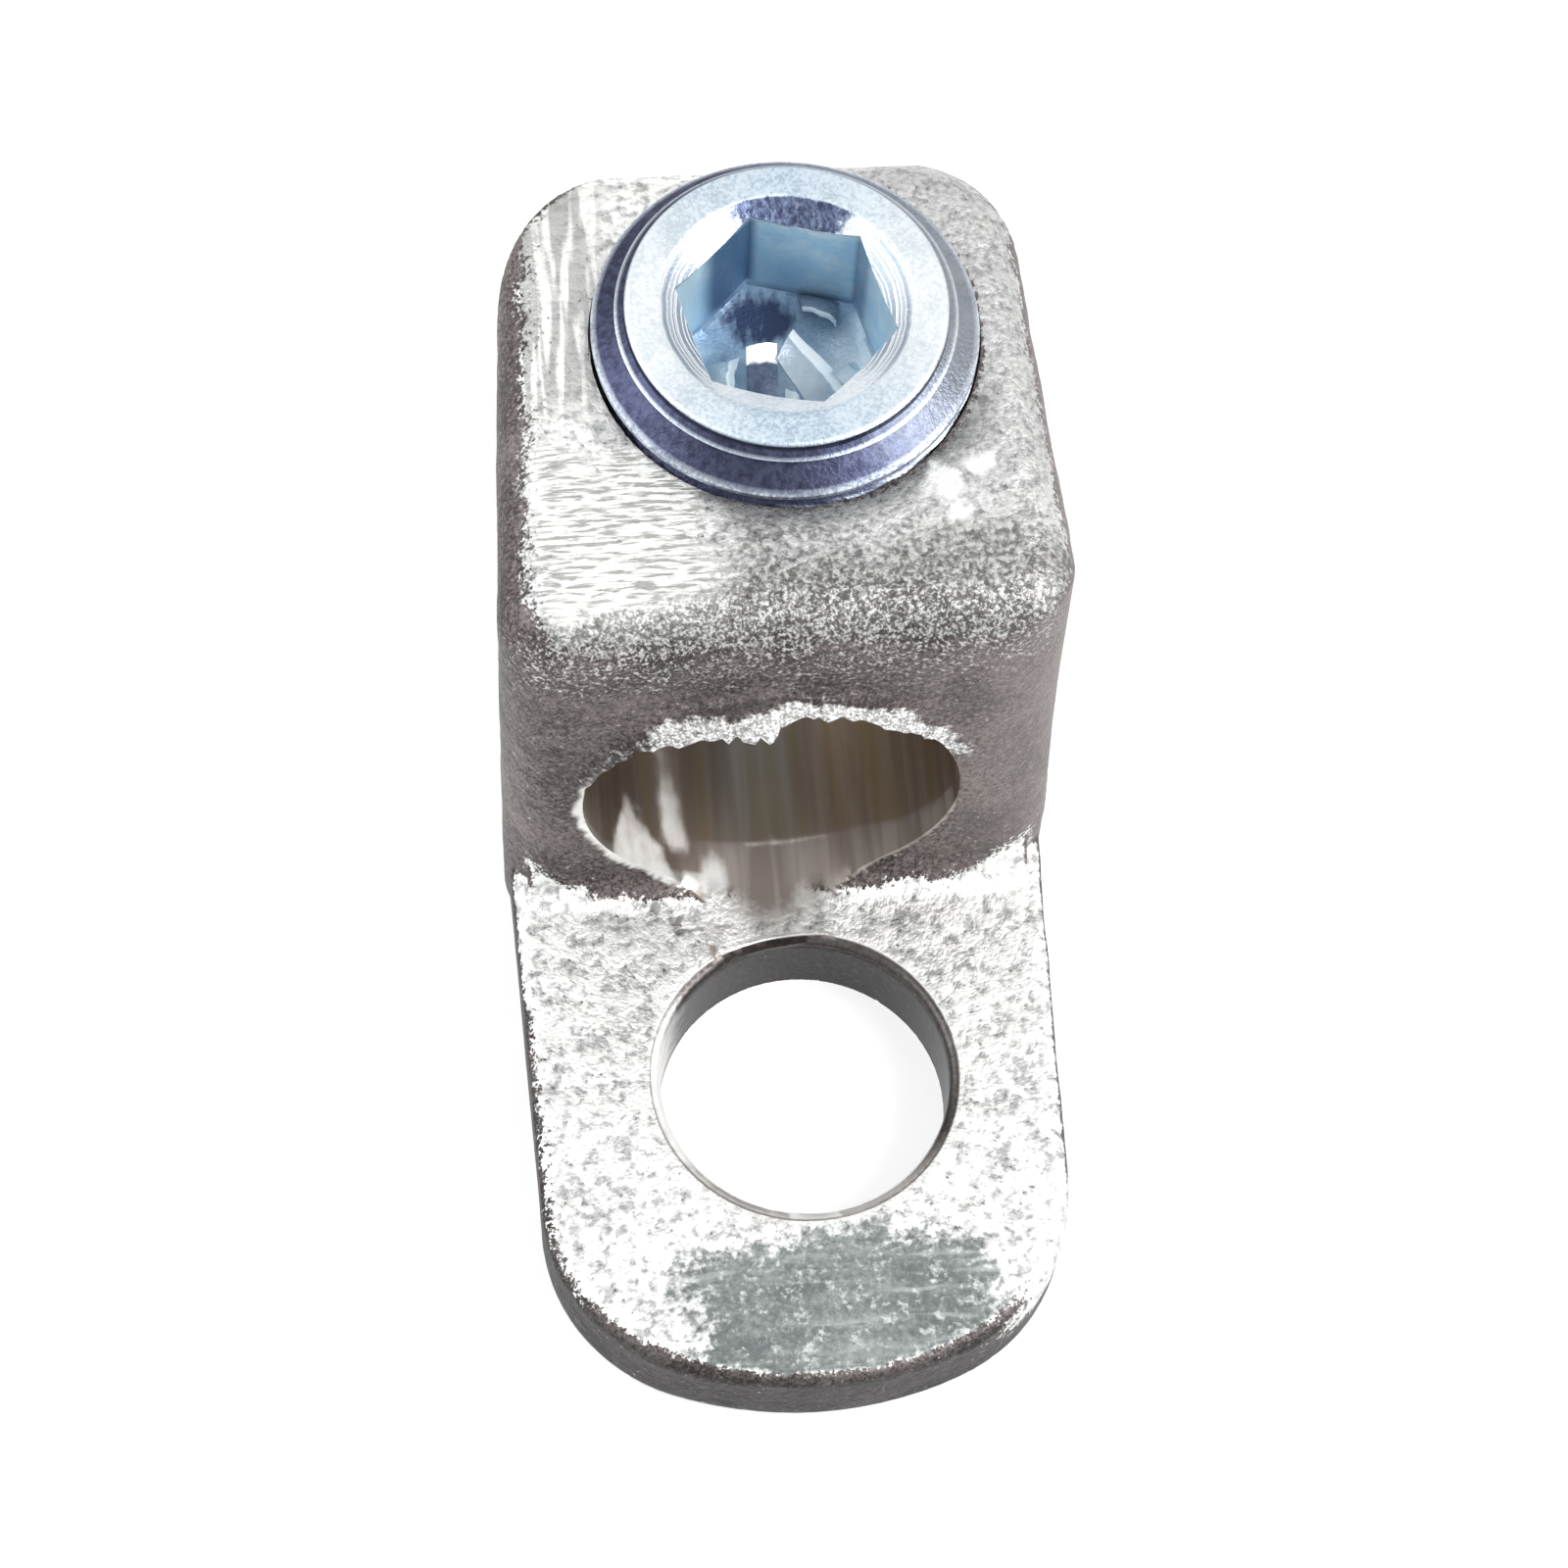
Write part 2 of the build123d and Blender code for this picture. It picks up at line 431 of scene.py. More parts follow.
normals = normals_of(mesh)
off_bore, off_bolt, off_screw = wall_distances(points)
wander = field(points, 1.8, 6)
on_top = smooth(tongue_top + 5, block_top - 2.5, z)
left_edge = smooth(0.05, 0.35, -normals[:, 0]) * smooth(tongue_top + 1, block_top - 3, z)
# Painted shade: the skin turns grey brown as a face turns from the top toward upright, sooner on the left.
facing_up = normals[:, 2] + 0.10 * field(points, 1.1, 4)
dull = 1 - smooth(0.34 + 0.34 * left_edge, 0.74 + 0.24 * left_edge, facing_up)
past_foot = y + foot_slope * (z - tongue_top) - np.interp(x, *foot_line)
ahead = smooth(0.8, 0.6, np.abs(normals[:, 0])) * smooth(tongue_top + 5, tongue_top + 4, z)
ahead *= band(y, 3.0, 4.0, 10, 11) * (z > tongue_top - 0.1)
dull = dull * (1 - ahead) + smooth(-0.45, 0.35, past_foot + 0.3 * wander) * ahead
front_top = smooth(block_top - 4.6, block_top - 1.6, z) * smooth(-0.3, -0.8, normals[:, 1])
dull -= 0.38 * front_top * (dull > 0.5)
dull = np.maximum(dull, 0.40 * on_top * smooth(-6.6, -8.8, x + 0.5 * wander))
nose_rim = np.maximum(smooth(-6.0, -8.0, y), 0.6 * smooth(-6.5, -7.6, x)) * smooth(6.9, 5.6, x) * (y < 3)
rounded = smooth(0.92, 0.74, spread(mesh, normals[:, 2], 7))
dull = np.maximum(dull, nose_rim * rounded * (z > 0.1)) * smooth(-0.9, -0.6, normals[:, 2])
# A painted highlight keeps the right of the nose bright.
nose_highlight = smooth(0.35, 0.8, normals[:, 0]) * smooth(-3.0, -5.5, y) * smooth(0.8, 2.2, z)
# A painted highlight beside the groove, where its wall catches the light; the painted shade gives way
# there.
streak_highlight = smooth(0.70, 0.05, np.abs(x - streak_x + 0.2 * wander)) * band(y, 4.9, 5.8, 7.3, 8.5)
streak_highlight *= z < tongue_top + 0.8
dull *= (1 - 0.9 * nose_highlight) * (1 - streak_highlight)

# %% [markdown]
# ## Areas on the tongue and on the top
# The tip of the tongue was pressed on its right half, which rubbed it smooth. The left of the top was
# filed, and bears curved strokes behind. Its front and left edges round over, painted darker as painted
# shade, and hold bright specks. Ahead of the screw the top is painted greyer, as painted shade, darkest
# just in front of the screw as its painted shadow, and the right of the top behind is a quieter darker
# grey, as painted shade.

# %% Paint the skin
patch = (
    smooth(-5.8, -3.2, x + wander)
    * smooth(7.0, 4.4, x + 0.35 * np.abs(y + 6.9) + wander)
    * smooth(-4.3, -6.2, y + 0.1 * np.abs(x) + 0.7 * wander)
    * smooth(0.7, 0.95, normals[:, 2])
    * smooth(0.6, 0.2, dull)
)
filed = on_top * smooth(-8.4, -7.4, x) * smooth(-1.0, -4.2, x + wander)
filed *= smooth(8.0, 9.6, y + 0.5 * wander) * smooth(15.5, 13.0, y + wander)
# Painted shade on the rounded front and left edges of the top.
left_round = 0.9 * smooth(-6.6, -8.2, x + 0.4 * wander)
front_round = on_top * np.maximum(smooth(11.0, 8.2, y + 0.8 * wander), left_round)
# Painted shade: the front of the top, right of the filed strokes, is painted greyer.
shade = on_top * smooth(13.2, 9.8, y + wander) * smooth(-5.4, -1.5, x + wander)
# The screw's painted shadow, on the top just in front of the screw.
beside_screw = smooth(1.3, 0.05, off_screw + 0.3 * wander)
paint(
    mesh,
    dull=dull,
    # Painted shade, darker still at the low edges of the tongue, and painted light, lighter toward the
    # right.
    low_edge=dull * smooth(tongue_top + 0.2, tongue_top - 0.4, z) * smooth(10.0, 5.5, y),
    pale_side=smooth(3.5, 8.0, x),
    patch=np.maximum(patch, smooth(-0.8, -0.95, normals[:, 2])),
    front_round=front_round * (1 - 0.8 * filed),
    filed=filed,
    shade=shade * (1 - filed),
    # Painted shade: the right of the top behind is painted a quieter darker grey.
    calm=on_top * smooth(-1.5, 5.0, x + wander) * smooth(10.0, 13.5, y + wander),
    at_screw=on_top * beside_screw * smooth(screw_y - 1, screw_y - 5, y),
    swirl=on_top * band(x, -8.6, -7.8, -6.0, -4.6) * smooth(14.5, 17.0, y),
)

# %% [markdown]
# ## Drilled metal
# A drill leaves bare metal with fine lines along its path. The deep bore is brown with cutting oil, and
# its first millimetre is paler, because the drill grazed the tongue there. A stripe and a tapering patch
# on the left, a line where the graze ends, a spot in the groove and a line beside it are painted
# highlights. Around the bore these places are told by their angle in degrees. The bolt hole was punched:
# its wall is painted dark, as painted shade, and painted light at the left, which faces the lamp.

# %% Where the drill grazed, and where highlights are painted
graze_line = ((-104, -57, -45, -31, -17), (8.4, 8.4, 8.15, 7.97, 7.87))
flame_line = ((-150, -140, -131, -124, -117), (7.6, 9.3, 9.1, 8.0, 7.2))
stripe_angle = -120.5

bore_angle = np.degrees(np.arctan2(z - bore_z, x - bore_x))
hole_angle = np.degrees(np.arctan2(y, x)) % 360
ripple = 0.5 * field(points, 0.9, 8)
hole_wall = smooth(0.40, 0.26, off_bolt) * (z > 0.03) * (z < tongue_top + 0.1)
graze_end = np.interp(bore_angle, *graze_line)
flame_end = np.interp(bore_angle, *flame_line)
grazed = drilled * smooth(graze_end + 0.12, graze_end - 0.12, y) * band(bore_angle, -118, -108, -15, -5)
# Painted highlights: a stripe and a tapering patch on the left, the graze's edge and a spot in the groove.
off_stripe = np.abs(bore_angle - stripe_angle + 0.8 * (y - 10))
stripe = (0.55 + 0.35 * smooth(10.8, 9.4, y)) * smooth(8.0, 1.0, off_stripe) * band(y, 7.5, 8.3, 15, 20)
flame_highlight = 0.85 * smooth(0.5, -0.7, y - flame_end + ripple) * band(bore_angle, -152, -142, -122, -112)
graze_edge_highlight = 0.45 * smooth(0.24, 0.06, np.abs(y - graze_end)) * band(bore_angle, -100, -93, -74, -64)
groove_highlight = 0.45 * smooth(0.8, 0.1, np.hypot(x - 0.45, (y - 6.3) / 1.6)) * (z < tongue_top + 0.3)
rubbed = np.maximum.reduce([stripe, flame_highlight, 0.95 * streak_highlight, graze_edge_highlight, groove_highlight])
# Painted light on the left of the bolt hole's wall, which faces the lamp on the right.
lit_hole_wall = 0.8 * band(hole_angle, 128, 168, 205, 250)
rubbed = rubbed * (1 - hole_wall) + lit_hole_wall * hole_wall

# %% Where the burr's lip and the rims are painted bright, as painted highlights
outward = face_y(z) - y
lip_reach = np.maximum(np.interp(x - bore_x, burr_along, burr_reach), 0.2)
# Painted highlight: the lip's upper side is painted bright where it catches the light, fainter at its far
# left.
lip = on_burr * smooth(0.30, 0.62, outward / lip_reach + 0.5 * ripple)
lip *= 0.25 + 0.75 * smooth(-4.9, -2.4, x - bore_x + 1.6 * ripple)
# Painted highlight on the right rim of the mouth.
right_rim = smooth(0.75, 0.30, off_bore + ripple) * smooth(2.6, 3.8, x - bore_x)
right_rim *= smooth(bore_z + 1.6, bore_z + 3.0, z) * (np.abs(outward) < 0.45)
# Painted highlight on the left rim of the mouth, strongest low down.
rim = smooth(0.30, 0.04, np.abs(off_bore - 0.10) + 0.25 * ripple)
rim *= smooth(0.40, 0.12, np.abs(outward)) * smooth(-1.0, -3.0, x)
rim *= (0.25 + 0.75 * smooth(bore_z + 2.6, bore_z + 0.4, z)) * smooth(bore_z + 5.0, bore_z + 3.8, z)

# %% Paint the drilled walls, the lip and the rims
open_groove = smooth(7.2, 6.4, y) * (z < tongue_top + 0.1)
groove_middle = smooth(2.3, 0.3, np.abs(x - bore_x - 0.15) + 0.4 * ripple)
groove_middle *= 0.42 + 0.58 * smooth(5.2, 6.9, y)
at_mouth = (np.abs(off_bore) < 0.22) & (y > face_y(z) + 0.12) & (y < 9) & (z > bore_z - 1.0)
bare = np.maximum(drilled, at_mouth) * (1 - open_groove * (1 - groove_middle))
paint(
    mesh,
    drilled=bare * (1 - hole_wall),
    grazed=grazed * (1 - hole_wall),
    rubbed=rubbed * np.maximum(drilled, hole_wall),
    # The burr's body, painted darker as painted shade.
    burr=on_burr & ~at_mouth,
    lip=np.maximum(lip, 0.9 * right_rim),
    rim=np.maximum(rim, 0.9 * streak_highlight * smooth(7.7, 7.1, y)),
)
shade_smooth(mesh, 38)
print("masks painted on", len(mesh.vertices), "points")

# %% [markdown]
# ## The screw
# The real screw is M12 with a pitch of 1.75 mm. Its top is chamfered, and the thread runs out there in
# a thin ridge above the first full crest. The whole outside is one grid: rows climb the screw and each
# row is a ring. A ring's radius is the largest of the crests that reach it, cut by the chamfers. The
# grid then turns over the flat top and goes down the hexagon socket to the drilled floor, so the screw
# is one closed skin.

# %% Sizes of the screw
pitch = 1.75
thread_root = 4.97
crest_radius = screw_radius - 0.02
crest_half_flat = 0.10
crest_count = 6
first_crest = screw_top - 1.42
ridge_height = screw_top - 0.46
ridge_radius = 5.27
flank_slope = math.tan(math.radians(60))
top_flat_radius = 4.925
top_chamfer = 1.15
tip_flat_radius = 4.9
tip_chamfer = 0.9
socket_turn = math.radians(-15.5)
socket_apothem = 3.0
socket_mouth = 3.9
socket_mouth_slope = 0.5
socket_depth = 4.2
drill_radius = 2.9
drill_depth = 4.3
drill_cone = drill_radius / math.tan(math.radians(75))

columns = 300
row_height = 0.075
turns = np.arange(columns) * 2 * math.pi / columns
angles = socket_turn + turns
hexagon = socket_apothem / np.cos(turns % (math.pi / 3) - math.pi / 6)


def crest(distance, radius):
    """Radius of a thread crest at a distance above or below its middle."""
    return radius - flank_slope * np.maximum(np.abs(distance) - crest_half_flat, 0)


def outside(z):
    """Radius of the screw's outside at height z, for every column."""
    turn = ((angles - math.pi / 2) % (2 * math.pi)) / (2 * math.pi)
    radius = np.maximum(thread_root, crest(z - first_crest, crest_radius))
    for number in range(crest_count):
        lead = first_crest - pitch * (number + 1 - turn)
        radius = np.maximum(radius, crest(z - lead, crest_radius))
    radius = np.maximum(radius, ridge_radius - flank_slope * np.abs(z - ridge_height))
    at_top = top_flat_radius + (screw_top - z) * (crest_radius - top_flat_radius) / top_chamfer
    at_tip = tip_flat_radius + (z - screw_bottom) * (crest_radius - tip_flat_radius) / tip_chamfer
    return np.minimum(radius, min(at_top, at_tip))


# %% [markdown]
# ## The rings of the screw
# Rings are listed in order: tip, outside, flat top, the cone that leads into the socket, the socket's
# walls, and its floor. The cone meets the hexagon lower at the flats than at the corners, and that
# gives the scalloped edge of a real broached socket. The punch left faint ripples near its mouth.

# %% List the screw's rings
flat_top = ((4.91, 0.035), (4.87, 0.008), (4.8, 0.0), (4.5, 0.0), (4.2, 0.0), (3.98, 0.0), (3.93, 0.008))
cone_top = screw_top - 0.02
socket_taper = 0.012
ripple_height = 0.016
rings = []


def add_ring(radius, height):
    """One ring, whose radius and height are one number or one for each column."""
    rings.append((np.broadcast_to(radius, columns), np.broadcast_to(height, columns)))


for share in (0.35, 0.7, 0.97):
    add_ring(tip_flat_radius * share, screw_bottom)
for height in np.arange(screw_bottom + 0.02, screw_top - 0.04, row_height):
    add_ring(outside(height), height)
for radius, drop in flat_top:
    add_ring(radius, screw_top - drop)
for share in (0.1, 0.3, 0.5, 0.7, 0.88, 0.97, 1.0):
    radius = socket_mouth + (hexagon - socket_mouth) * share
    cone_foot = cone_top - (socket_mouth - radius) * socket_mouth_slope  # ends where the walls start
    add_ring(radius, cone_foot)
chatter = np.array([noise.noise(Vector((math.cos(a) * 9, math.sin(a) * 9, 0.5))) for a in angles])
for share in (0.02, 0.05, *np.linspace(0.1, 1.0, 19)):
    taper = 1 - socket_taper * share + ripple_height * chatter * max(1 - share * 3, 0.15)
    add_ring(hexagon * taper, cone_foot + (screw_top - socket_depth - cone_foot) * share)
for radius in (2.9, 2.6, 2.2, 1.7, 1.1, 0.5):
    add_ring(radius, screw_top - drill_depth - drill_cone * (1 - radius / drill_radius))

# %% Build the screw's grid
screw_points = []
for radius, height in rings:
    screw_points += zip(screw_x + radius * np.cos(angles), screw_y + radius * np.sin(angles), height)
tip_middle = len(screw_points)
floor_middle = tip_middle + 1
screw_points.append((screw_x, screw_y, screw_bottom))
screw_points.append((screw_x, screw_y, screw_top - drill_depth - drill_cone))
last = tip_middle - columns
screw_faces = []
for column in range(columns):
    beside = (column + 1) % columns
    screw_faces.append((tip_middle, beside, column))
    for low in range(0, last, columns):
        high = low + columns
        screw_faces.append((low + column, low + beside, high + beside, high + column))
    screw_faces.append((last + column, last + beside, floor_middle))
print("screw rings", len(rings), "faces", len(screw_faces))

# %% [markdown]
# ## Chips at the bottom of the socket
# A punch presses the hexagon into a drilled hole, and the metal that it shears off stays curled up at
# the foot of the flats. No two chips are alike, so each has its own four corners, given from the
# screw's axis. Between them the chip is a thin arched plate, whose free edge catches the light.

# %% Corners of the chips
chip_steps = 13
chip_across = 9
chip_size = chip_steps * chip_across
chip_thickness = 0.10
chip_tear = 0.10
chip_crown = 0.12
chip_foot_depth = 4.35
chips = (
    # foot corners, free corners, depth of the free edge, arch
    ((-1.30, -2.75), (-0.30, -2.90), (-1.18, 0.28), (-0.18, 0.34), 3.00, 0.35),
    ((1.35, -2.85), (2.60, -1.65), (-0.22, -0.17), (0.36, 0.84), 3.05, 0.30),
    ((-3.00, -0.05), (-2.78, -1.20), (-1.42, -0.05), (-1.60, -1.12), 3.05, 0.30),
    ((-0.15, -3.00), (0.45, -3.10), (-0.08, -1.55), (0.32, -1.80), 2.60, 0.20),
    ((0.70, 2.88), (2.00, 2.52), (0.78, 1.78), (1.78, 1.12), 3.40, 0.20),
    ((2.60, -1.65), (3.20, -1.00), (1.45, -0.60), (2.20, -0.30), 3.30, 0.25),
)


def chip_grid(foot_a, foot_b, edge_a, edge_b, edge_depth, arch, lift):
    """Points of one side of a chip, which arches in from the foot of a flat."""
    grid = []
    for share in np.linspace(0, 1, chip_steps):
        for across in np.linspace(0, 1, chip_across):
            torn = chip_tear * share * noise.noise(Vector((across * 4, edge_depth * 9, arch * 7)))
            foot = np.array(foot_a) * (1 - across) + np.array(foot_b) * across
            edge = np.array(edge_a) * (1 - across) + np.array(edge_b) * across
            px, py = foot * (1 - share) + edge * (share + torn)
            depth = chip_foot_depth + (edge_depth - chip_foot_depth) * share
            rise = arch * math.sin(math.pi * min(share * 1.15, 1)) + chip_crown * math.sin(math.pi * across)
            grid.append((screw_x + px, screw_y + py, screw_top - depth + rise + lift * chip_thickness))
    return grid


# %% Add the curled chips
numbers = np.arange(chip_size).reshape(chip_steps, chip_across)
edges = (numbers[0], numbers[1:, -1], numbers[-1, -2::-1], numbers[-2:0:-1, 0])
outline = np.concatenate(edges).tolist()
chip_start = len(screw_points)
for chip in chips:
    start = len(screw_points)
    screw_points += chip_grid(*chip, 0) + chip_grid(*chip, 1)
    for step in range(chip_steps - 1):
        for place in range(chip_across - 1):
            a = start + step * chip_across + place
            b = a + chip_across
            screw_faces.append((a, b, b + 1, a + 1))
            screw_faces.append((a + chip_size, a + chip_size + 1, b + chip_size + 1, b + chip_size))
    for here, there in zip(outline, outline[1:] + outline[:1]):
        a = start + here
        b = start + there
        screw_faces.append((a, a + chip_size, b + chip_size, b))
screw = make_object("threaded_screw", screw_points, screw_faces)
face_outward(screw.data)
print("chips", len(chips))

# %% [markdown]
# ## Where the screw is bright and where it is dark
# The flat top and the crests are bare bright zinc. The grooves and the chamfer hold the violet tint that
# blue passivation leaves where it collects, painted lighter on the right as painted light, and the far
# side of the cone is painted dark violet, as a painted reflection. The socket's walls are steel blue,
# with painted shade deep down and at two corners and painted light on the far left, its floor is navy
# with a painted shadow in its dip, and the chips are pale, each with its own painted light and shade.
# A place round the screw is told by its angle in degrees, which starts at the right.

# %% Tell the screw's parts apart
mesh = screw.data
points = points_of(mesh)
upward = normals_of(mesh)[:, 2]
across = points[:, 0] - screw_x
along = points[:, 1] - screw_y
below_top = screw_top - points[:, 2]
from_axis = np.hypot(across, along)
turned = np.degrees(np.arctan2(along, across)) % 360
is_chip = np.arange(len(points)) >= chip_start
outer = from_axis > socket_mouth + 0.9
ridge = smooth(0.07, 0.02, np.abs(below_top - (screw_top - ridge_height)))
crest_line = smooth(crest_radius - 0.10, crest_radius - 0.02, from_axis)
groove = outer * smooth(0.02, 0.10, below_top) * (1 - 0.7 * ridge) * (1 - crest_line)
# Painted light: the groove is painted lighter on the right, toward the lamp.
groove *= 1 - 0.30 * np.maximum(np.cos(np.radians(turned - 20)), 0)
in_socket = (from_axis < socket_mouth - 0.05) & ~is_chip
wall = in_socket * smooth(0.75, 0.4, np.abs(upward)) * smooth(0.3, 0.5, below_top)
floor_part = in_socket * smooth(socket_depth - 0.35, socket_depth - 0.05, below_top)
cone = (from_axis < socket_mouth + 0.02) * smooth(0.3, 0.6, upward) * smooth(1.0, 0.6, below_top)
cone *= ~is_chip
# A painted shadow in the dip of the socket's floor.
hollow_shadow = smooth(1.5, 0.6, np.hypot((across + 0.55) / 1.05, (along - 2.15) / 0.75))
hollow_shadow *= smooth(0.9, 1.5, along - 0.25 * across)
# Painted shade at two corners of the socket's walls.
wall_corners = np.maximum(band(turned, 99, 105, 130, 148), 0.7 * band(turned, 24, 36, 44, 47))

# %% Light on the chips
chip_tones = np.array([
    # how pale it is painted, as painted light and shade, light on the free edge, light on the long side
    (0.05, 1.0, 0.0),
    (0.60, 0.0, 1.0),
    (0.55, 1.0, 0.0),
    (0.25, 1.0, 0.0),
    (0.28, 0.9, 0.0),
    (0.80, 0.3, 0.3),
])
chip_sides = 2 * len(chips)
along_chip = np.tile(np.repeat(np.linspace(0, 1, chip_steps), chip_across), chip_sides)
across_chip = np.tile(np.linspace(0, 1, chip_across), chip_sides * chip_steps)
paleness, edge_light, side_light = np.repeat(chip_tones, 2 * chip_size, axis=0).T
lit = np.maximum(edge_light * smooth(0.76, 0.88, along_chip), side_light * smooth(0.62, 0.80, across_chip))
no_chip = np.zeros(chip_start)

# %% Paint the masks on the screw
paint(
    mesh,
    groove=groove,
    crest_line=crest_line * outer * smooth(0.5, 1.0, below_top),
    tip=smooth(5.1, 5.5, below_top) * outer + (below_top > 6.3),
    socket=np.maximum(np.maximum(wall, floor_part), is_chip),
    # Painted shade deeper down the walls and at two corners, and painted light on the far left wall.
    wall_deep=wall * smooth(1.0, 2.8, below_top) * (0.3 + 0.7 * smooth(60, 85, turned)),
    wall_shade=wall * wall_corners,
    wall_pale=wall * smooth(143, 156, turned),
    ledge=wall * smooth(3.85, 4.0, below_top) * band(turned, 50, 60, 108, 120),
    socket_floor=floor_part,
    floor_hollow=floor_part * hollow_shadow,
    floor_pale=floor_part * smooth(1.2, -0.8, along - 0.5 * across),
    cone_lines=cone * smooth(0.55, 0.9, np.abs(np.cos(np.radians(turned)))),
    # Painted reflection: the far side of the cone.
    cone_far=cone * band(turned, 42, 62, 104, 126),
    chip=is_chip * 1.0,
    chip_body=np.concatenate([no_chip, paleness]),
    chip_edge=np.concatenate([no_chip, lit]),
    cool=np.abs(np.sin(np.radians(turned))) ** 2 * (from_axis > socket_mouth - 0.1),
)
shade_smooth(mesh, 28)
print("screw points", len(mesh.vertices))

# %% [markdown]
# ## Writing materials as sums
# A procedural material is arithmetic on patterns. The small class below wraps a shader socket, so that
# an expression such as 1 - mask adds the Math nodes by itself. All other nodes come from one method.

# %% A socket that does sums, and a material that adds nodes
class Wire:
    """A socket of a shader node. Sums on it add Math nodes."""

    def __init__(self, finish, socket):
        self.finish = finish
        self.socket = socket

    def sum_of(self, operation, first, second):
        return self.finish.add("ShaderNodeMath", {"operation": operation}, {0: first, 1: second})

    def __add__(self, other):
        return self.sum_of("ADD", self, other)

    def __sub__(self, other):
        return self.sum_of("SUBTRACT", self, other)

    def __rsub__(self, other):
        return self.sum_of("SUBTRACT", other, self)

    def __mul__(self, other):
        return self.sum_of("MULTIPLY", self, other)

    __radd__ = __add__
    __rmul__ = __mul__


class Finish:
    """A material or a world under construction."""

    def __init__(self, owner):
        owner.use_nodes = True
        self.owner = owner
        self.tree = owner.node_tree
        self.tree.nodes.clear()

    def add(self, kind, settings=None, sockets=None, output=0):
        """Adds a node: first its settings, then the values or links of its sockets."""
        node = self.tree.nodes.new(kind)
        for name, value in (settings or {}).items():
            setattr(node, name, value)
        for key, value in (sockets or {}).items():
            socket = self.find(node.inputs, key)
            if isinstance(value, Wire):
                self.tree.links.new(value.socket, socket)
            elif socket.type == "RGBA" and len(value) == 3:
                socket.default_value = (*value, 1)
            else:
                socket.default_value = value
        return Wire(self, self.find(node.outputs, output)) if len(node.outputs) else None

    @staticmethod
    def find(sockets, key):
        """The socket with that number, identifier or name."""
        if isinstance(key, int):
            return sockets[key]
        for socket in sockets:
            if socket.identifier == key:
                return socket
        return sockets[key]

    def mask(self, name):
        """One of the numbers painted on the mesh's points."""
        return self.add("ShaderNodeAttribute", {"attribute_name": name}, {}, "Fac")

    def vector(self, operation, first, second, output="Vector"):
        """A sum on two places or two colours."""
        return self.add("ShaderNodeVectorMath", {"operation": operation}, {0: first, 1: second}, output)

    def place(self, stretch=(1, 1, 1)):
        """The point's place in millimetres, stretched along each axis."""
        here = self.add("ShaderNodeTexCoord", {}, {}, "Object")
        return self.vector("MULTIPLY", here, tuple(s / MM for s in stretch))

    def part(self, place, axis):
        """One number of a place: its X, Y or Z."""
        return self.add("ShaderNodeSeparateXYZ", {}, {0: place}, axis)

    def noise(self, place, scale, detail=2.0, roughness=0.5, distortion=0.0, output="Fac"):
        """Cloudy noise, around 0.5, or in three colours with the output Color."""
        sockets = {"Vector": place, "Scale": scale, "Detail": detail, "Roughness": roughness}
        return self.add("ShaderNodeTexNoise", {}, {**sockets, "Distortion": distortion}, output)

    def warp(self, place, scale, amount):
        """The place pushed about by up to half the amount, so that patterns lose their order."""
        push = self.vector("SUBTRACT", self.noise(place, scale, output="Color"), (0.5, 0.5, 0.5))
        return self.vector("ADD", place, self.vector("MULTIPLY", push, (amount,) * 3))

    def spot(self, place, centre, radius, soft):
        """1 within a radius of a point, fading to 0, all in millimetres."""
        return self.step(radius + soft, radius, self.vector("DISTANCE", place, centre, "Value"))

    def step(self, low, high, value):
        """0 at low, 1 at high, and an even S between."""
        sockets = {"Value": value, "From Min": low, "From Max": high}
        return self.add("ShaderNodeMapRange", {"interpolation_type": "SMOOTHSTEP"}, sockets, "Result")

    def blend(self, low, high, value, first, second):
        """The first colour at low, turning into the second at high."""
        return self.mix(self.step(low, high, value), first, second)

    def mix(self, mask, first, second):
        """The first colour, turning into the second where the mask is 1."""
        sockets = {"Factor_Float": mask, "A_Color": first, "B_Color": second}
        return self.add("ShaderNodeMix", {"data_type": "RGBA"}, sockets, "Result_Color")

    def cover(self, colour, name, strength, second):
        """The colour, covered by the second where a painted mask is 1."""
        return self.mix(self.mask(name) * strength, colour, second)

    def seen(self):
        """1 for rays that the camera, a gloss or a clear material sends out."""
        kinds = ("Is Camera Ray", "Is Glossy Ray", "Is Transmission Ray")
        camera_ray, gloss_ray, clear_ray = (self.add("ShaderNodeLightPath", {}, {}, kind) for kind in kinds)
        return camera_ray + gloss_ray + clear_ray

    def relief(self, height, depth_mm):
        """A normal from a height between 0 and 1."""
        sockets = {"Height": height, "Strength": 1.0, "Distance": depth_mm * MM}
        return self.add("ShaderNodeBump", {}, sockets, "Normal")

    def surface(self, **sockets):
        """Ends the material with a Principled shader."""
        named = {key.replace("_", " ").title(): value for key, value in sockets.items()}
        shader = self.add("ShaderNodeBsdfPrincipled", {}, named, "BSDF")
        self.add("ShaderNodeOutputMaterial", {}, {"Surface": shader})
        return self.owner


# %% [markdown]
# ## Tinned cast metal
# The tin lies over the grain of the mould, nearly white with grey between. Noises of different size
# give it, and the tone and the relief read the same noise, so that they agree. On the block the grain
# is finer. Upright faces are painted a grey brown skin with fine mottling, as painted shade, and raised
# grains stay bright where it thins out, so it meets the tin in a ragged line.

